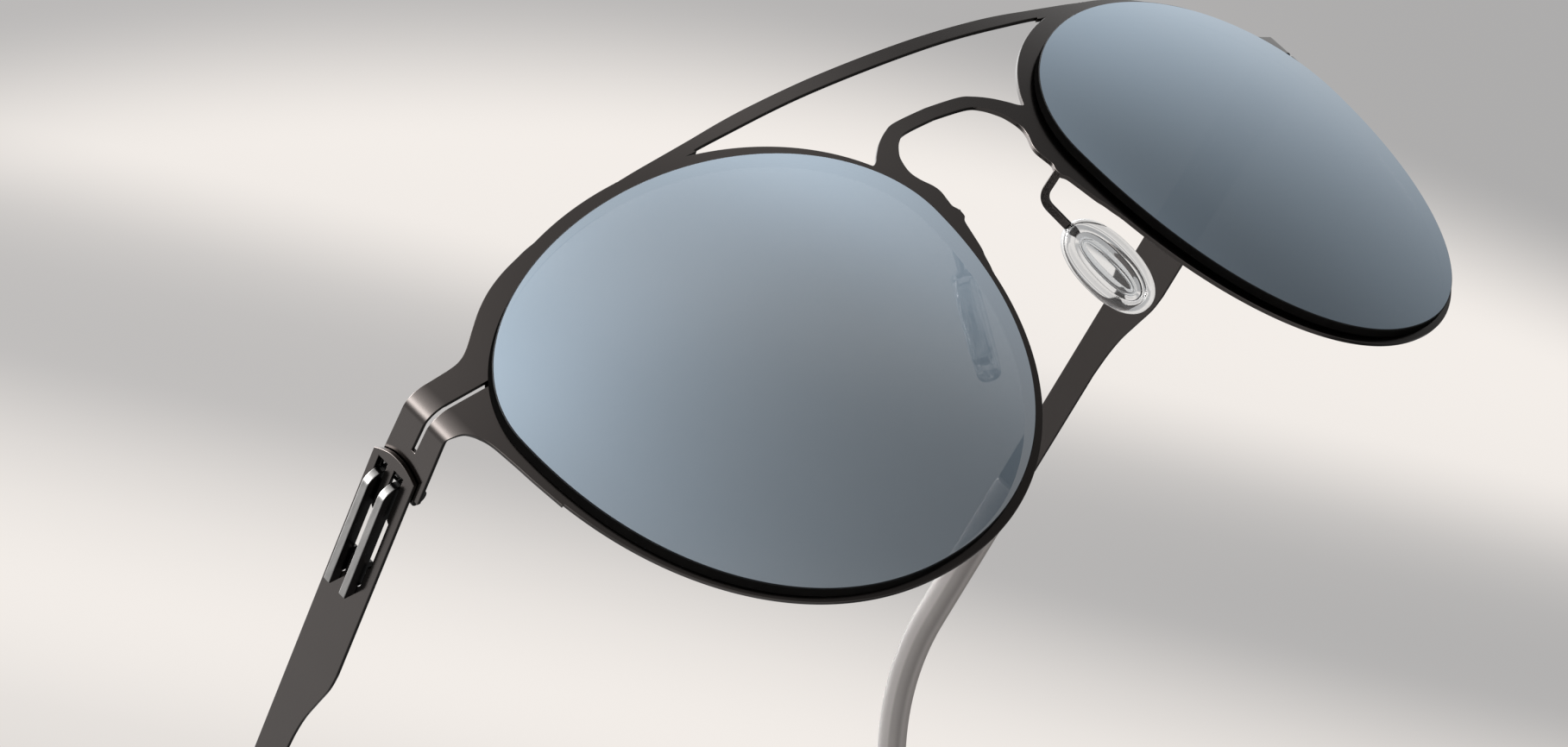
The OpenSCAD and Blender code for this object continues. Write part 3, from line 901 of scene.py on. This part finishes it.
class SUNGLASSES_OT_temples(Piece):
    """Temple plates with the two clip slots and the thin end inside the sleeve"""
    bl_idname = "sunglasses.temples"
    bl_label = "Temples"

    def execute(self, context):
        t, sheet = settings().temple, settings().front.sheet
        metal = steel_finish("satin coated temple", (1.0, 0.08, 1.0))
        neck, h = t.neck_w, t.plate_w / 2
        step = t.plate_w - neck
        shape = ([(SLEEVE_AT, h)]
                 + curve([(-2.35, h), (-2.95, 0.66 * h), (-3.4, 0.26 * h), (-3.4, -0.26 * h),
                          (-3, -0.66 * h), (-2.45, -h)], 8)
                 + curve([(26, -h), (28.5, 0.11 * step - h), (31.5, 0.43 * step - h), (34.5, 0.74 * step - h),
                          (37.5, 0.91 * step - h), (41, step - h)], 8)
                 + [(SLEEVE_AT, step - h)])
        bend = np.linspace(t.reach, t.reach + t.ear_r * t.ear_angle, 24)
        def edge(at_neck, beyond):
            stops = [SLEEVE_AT + 3, *bend, path_end() - 5]
            return [ear_path(SLEEVE_AT - 0.1, at_neck)[:2]] + [ear_path(q, beyond)[:2] for q in stops]
        # the thin end lies low in the sleeve and stops 5 mm before its tip
        core = edge(neck / 2, 0.9) + edge(-neck / 2, -1.5)[::-1]
        slots = []
        for s in (-1, 1):
            z = CLIP_Z + s * FIN_Z
            low = z - SLOT_W / 2
            slots.append([(SLOT_AT, low), (3.9, low), (4.2, low - SLOT_DIP), (SLOT_END - 3.5, low - SLOT_DIP),
                          (SLOT_END - 3.2, low)] + arc(SLOT_END - SLOT_W / 2, z, SLOT_W / 2, -90, 90, 12)
                         + [(SLOT_AT, z + SLOT_W / 2)])
        for side in (LEFT, RIGHT):
            hp = hinge_place(side)
            def place(u, v, d):
                return hp(PLATE_IN + sheet - d, u, v)
            obj = make_mesh("temple_plate_" + word(side), *cut_sheet([shape, core], slots, place, sheet, 0.07))
            finished(obj, body_of(side), ["temple_" + word(side)], "satin_steel", metal)
        return {"FINISHED"}


class SUNGLASSES_OT_sleeves(Piece):
    """Ear sleeves that show the metal through them, with painted shade along their lower side"""
    bl_idname = "sunglasses.sleeves"
    bl_label = "Ear sleeves"

    def execute(self, context):
        t = settings().temple
        soft = sleeve_finish()
        mid = PLATE_IN + settings().front.sheet / 2
        a, b = t.sleeve_w / 2, t.sleeve_t / 2
        last = path_end() - 0.2
        round_off = 2.0
        mouth = ((0, 0.72), (0.03, 0.84), (0.12, 0.93), (0.3, 0.98), (0.6, 1.0))
        stations = [(SLEEVE_AT + q, k) for q, k in mouth]
        stations += [(q, 1.0) for q in np.linspace(SLEEVE_AT + 3, last - round_off, 60)]
        stations += [(last - round_off + round_off * math.sin(q), max(math.cos(q), 0.02)) for q in
                     np.linspace(0, math.pi / 2, 14)[1:]]
        n, e = 40, 2 / 2.7  # points round the sleeve, and how square it is
        for side in (LEFT, RIGHT):
            hp = hinge_place(side)
            rings, across = [], []
            for s, k in stations:
                ring = []
                for i in range(n):
                    g = 2 * math.pi * i / n
                    v = math.copysign(abs(math.cos(g)) ** e, math.cos(g))
                    h = math.copysign(abs(math.sin(g)) ** e, math.sin(g))
                    y, z, _ = ear_path(s, a * v * k)
                    ring.append(hp(mid + b * h * k ** 0.7, y, z))
                    across.append(v)
                rings.append(ring)
            obj = make_mesh("sleeve_" + word(side), *tube(rings))
            outward(obj)
            obj.data.attributes.new("across", "FLOAT", "POINT").data.foreach_set("value", across)
            obj.data.set_sharp_from_angle(angle=math.radians(50))
            finished(obj, body_of(side), ["ear_sleeve_" + word(side)], "sleeve", soft)
        return {"FINISHED"}


class SUNGLASSES_OT_pads(Piece):
    """Clear nose pads with their stiff inserts"""
    bl_idname = "sunglasses.pads"
    bl_label = "Nose pads"

    def execute(self, context):
        p = settings().pads
        soft, hard = clear_finish("clear soft pad", 0.03), clear_finish("clear stiff insert", 0.02)
        turn = np.linspace(0, 2 * math.pi, 65)[:-1]
        # across the wall of the ring and over the thin middle: distance in from the outline, and height
        half = PAD_WALL / 2
        profile = [(half - half * math.cos(q), p.thick / 2 * math.sin(q) ** 0.85)
                   for q in np.linspace(0, math.pi, 17)]
        profile = [(d, max(h, 0.42) if d > half else h) for d, h in profile]
        profile += [(PAD_WALL + 0.3, 0.36), (PAD_WALL + 0.9, 0.3)]
        for side in (LEFT, RIGHT):
            mid, across, up, face = pad_frame()[0]
            def put(x, y, z):
                return point(mid + x * across + y * up + z * face, side)
            def oval(g, l, w):
                c, s = math.cos(g), math.sin(g)
                return w / 2 * math.copysign(abs(c) ** 0.9, c), l / 2 * math.copysign(abs(s) ** 0.9, s)
            def ring(d, h):
                return [put(*oval(g, p.length - 2 * d, p.width - 2 * d), h) for g in turn]
            obj = make_mesh("pad_" + word(side),
                            *tube([ring(d, -h) for d, h in profile[:0:-1]] + [ring(d, h) for d, h in profile]))
            outward(obj)
            finished(obj, "front", ["nose_pad_" + word(side)], "clear_soft", soft)
            rings = [ring(2.35 + 0.42 * math.cos(q), 0.5 * math.sin(q)) for q in np.arange(16) * math.pi / 8]
            obj = make_mesh("pad_loop_" + word(side), *tube(rings + [rings[0]], closed_ends=False))
            outward(obj, weld=True)
            finished(obj, "front", ["pad_insert_" + word(side)], "clear_hard", hard)
        return {"FINISHED"}


# -------- stage

def photo_axes():
    """Right, up and forward of the photograph's camera."""
    heading, pitch, roll = (math.radians(q) for q in (CAMERA_HEADING, CAMERA_PITCH, CAMERA_ROLL))
    forward = Vector((math.sin(heading) * math.cos(pitch), math.cos(heading) * math.cos(pitch),
                      math.sin(pitch)))
    level = Vector((math.cos(heading), -math.sin(heading), 0))
    right = level * math.cos(roll) + level.cross(forward) * math.sin(roll)
    return right, right.cross(forward), forward


def world_light():
    world = bpy.data.worlds.new("studio")
    bpy.context.scene.world = world
    world.use_nodes = True
    tree = world.node_tree
    tree.nodes.clear()
    f = Finish(tree=tree)
    way = f.node("ShaderNodeTexCoord", out=0)
    x, y, z = f.parts(way)
    path = tree.nodes.new("ShaderNodeLightPath")
    seen = Wire(tree, path.outputs["Is Camera Ray"]).at_least(Wire(tree, path.outputs["Is Transmission Ray"]))
    gloss = Wire(tree, path.outputs["Is Glossy Ray"])
    # the backdrop: pale, with faint slanting bands of shadow behind the photographed view
    right, up, forward = photo_axes()
    across, down = f.dot(way, tuple(right)), f.dot(way, tuple(-up))
    above_edge = f.ramp(down + 0.0621 - across * 0.1261 - across * across * 1.01, -0.009, 0.023)
    bands = f.profile(down - across * 0.23, -0.04, 0.12, [
        (-0.04, 1), (-0.0135, 1), (-0.0055, 0.68), (0.0026, 0.27), (0.0123, 0.08), (0.0284, 0.03),
        (0.0365, 0.3), (0.0445, 0.55), (0.0542, 0.8), (0.0671, 1), (0.08, 0.95), (0.0929, 0.75), (0.12, 0.5)])
    near = f.ramp(f.dot(way, tuple(forward)), 0.94, 0.975)
    grey = f.mix(f.ramp(across, -0.1, 0.13), (0.50, 0.488, 0.482), (0.42, 0.414, 0.412))
    backdrop = f.mix(1 - (1 - above_edge * bands) * near, grey, (0.90, 0.855, 0.815))
    # what shines in the metal and the lenses: dim room, bright soft box, dark below
    turn = f.node("ShaderNodeMath", {"operation": "ARCTAN2"}, {0: x, 1: 0 - y}) * (180 / math.pi)
    above = f.profile(turn, -180, 180, [
        (-180, 0.8), (-156, 1.2), (-142, 1.65), (-132, 0.95), (-120, 0.8), (-112, 1.6), (-104, 6),
        (-97, 11.5), (-89, 11.5), (-80, 7), (-68, 3.6), (-50, 2.2), (-30, 1.4), (-12, 0.95), (0, 0.8),
        (11, 0.62), (17, 0.50), (25, 0.375), (32, 0.385), (37, 0.49), (42, 0.66), (48, 0.62), (54, 0.41),
        (60, 0.24), (66, 0.28), (73, 0.40), (80, 0.5), (88, 0.65), (98, 0.75), (120, 0.6), (150, 0.45),
        (180, 0.55)])
    rise = f.profile(z, -1, 1, [
        (-1, 0.4), (0, 0.5), (0.09, 0.52), (0.155, 0.62), (0.208, 0.70), (0.26, 0.84), (0.31, 1.0),
        (0.36, 1.25), (0.407, 1.55), (0.454, 1.85), (0.5, 2.1), (0.6, 3), (0.75, 6), (1, 6)])
    below = f.profile(turn, -180, 180, [
        (-180, 0.8), (-132, 0.7), (-80, 0.9), (-55, 1.25), (-30, 1.25), (-5, 0.9), (20, 0.75), (60, 0.7),
        (85, 0.3), (105, 0.06), (155, 0.06), (170, 0.5), (180, 0.8)])
    high = f.ramp(z, -0.1, 0.04)
    room = above * rise * high + below * (1 - high)
    out = tree.nodes.new("ShaderNodeOutputWorld")
    bg = tree.nodes.new("ShaderNodeBackground")
    shade = f.mix(seen, f.mix(gloss, (0.62, 0.62, 0.63), (1.0, 1.0, 1.0)), backdrop)
    plug(tree, shade, bg.inputs[0])
    plug(tree, 1 + gloss * (1 - seen) * (room - 1), bg.inputs[1])
    tree.links.new(bg.outputs[0], out.inputs[0])


def lamp(name, at, power):
    """A square lamp that looks at the middle of the part."""
    data = bpy.data.lights.new(name, "AREA")
    data.shape, data.size, data.energy = "SQUARE", 0.8, power
    obj = bpy.data.objects.new(name, data)
    bpy.context.collection.objects.link(obj)
    obj.location = at
    obj.rotation_euler = (Vector((0, 0, 0.02)) - Vector(at)).to_track_quat("-Z", "Y").to_euler()
    obj.visible_glossy = obj.visible_transmission = False


class SUNGLASSES_OT_stage(Piece):
    """Floor, lights, backdrop and the photograph's camera"""
    bl_idname = "sunglasses.stage"
    bl_label = "Stage"

    def execute(self, context):
        # the floor shows from above only, because the photograph's camera lies below the ground line
        obj = make_mesh("floor", [(-2, -2, 0), (2, -2, 0), (2, 2, 0), (-2, 2, 0)], [(0, 1, 2, 3)])
        f = Finish("pale floor", Roughness=0.9, Specular_IOR_Level=0.0)
        f.set("Base Color", f.mix(f.noise(f.place(), 3.0), paint("floor"), paint("floor", 0.97)))
        under = f.node("ShaderNodeNewGeometry", out=6)
        gone = f.tree.nodes.new("ShaderNodeBsdfTransparent")
        pick = f.tree.nodes.new("ShaderNodeMixShader")
        plug(f.tree, under, pick.inputs[0])
        f.tree.links.new(f.shader.outputs[0], pick.inputs[1])
        f.tree.links.new(gone.outputs[0], pick.inputs[2])
        f.tree.links.new(pick.outputs[0], f.out.inputs[0])
        obj.data.materials.append(f.material)
        obj.visible_glossy = False
        world_light()
        lamp("key", (-0.5, -0.6, 0.9), 4.2)
        lamp("fill", (0.8, -0.5, 0.5), 1.8)
        lamp("back", (0.2, 0.9, 0.8), 2.4)
        right, up, forward = photo_axes()
        data = bpy.data.cameras.new("camera")
        data.sensor_width, data.lens = 36.0, CAMERA_LENS
        data.clip_start, data.clip_end = 0.01, 20
        cam = bpy.data.objects.new("camera", data)
        bpy.context.collection.objects.link(cam)
        m = Matrix((right, up, -forward)).transposed().to_4x4()
        m.translation = Vector(CAMERA_AT) * MM
        cam.matrix_world = m
        bpy.context.scene.camera = cam
        bpy.context.scene.view_settings.view_transform = "Standard"
        return {"FINISHED"}


# -------- add-on

class SunglassesSettings(bpy.types.PropertyGroup):
    front: PointerProperty(type=FrontSettings)
    lens: PointerProperty(type=LensSettings)
    temple: PointerProperty(type=TempleSettings)
    pads: PointerProperty(type=PadSettings)
    colours: PointerProperty(type=ColourSettings)


PIECES = (SUNGLASSES_OT_front, SUNGLASSES_OT_pad_arms, SUNGLASSES_OT_lenses, SUNGLASSES_OT_clips,
          SUNGLASSES_OT_temples, SUNGLASSES_OT_sleeves, SUNGLASSES_OT_pads, SUNGLASSES_OT_stage)


class SUNGLASSES_PT_panel(bpy.types.Panel):
    bl_label = "Sunglasses"
    bl_idname = "SUNGLASSES_PT_panel"
    bl_space_type = "VIEW_3D"
    bl_region_type = "UI"
    bl_category = "Sunglasses"

    def draw(self, context):
        s = settings()
        for group in (s.front, s.lens, s.temple, s.pads, s.colours):
            box = self.layout.box()
            for key in group.__annotations__:
                box.prop(group, key)
        for piece in PIECES:
            self.layout.operator(piece.bl_idname)


CLASSES = (FrontSettings, LensSettings, TempleSettings, PadSettings, ColourSettings, SunglassesSettings,
           *PIECES, SUNGLASSES_PT_panel)


def register():
    for c in CLASSES:
        bpy.utils.register_class(c)
    bpy.types.Scene.sunglasses = PointerProperty(type=SunglassesSettings)


def unregister():
    del bpy.types.Scene.sunglasses
    for c in reversed(CLASSES):
        bpy.utils.unregister_class(c)


def main():
    register()
    for piece in PIECES:
        group, name = piece.bl_idname.split(".")
        getattr(getattr(bpy.ops, group), name)()


if __name__ == "__main__":
    main()
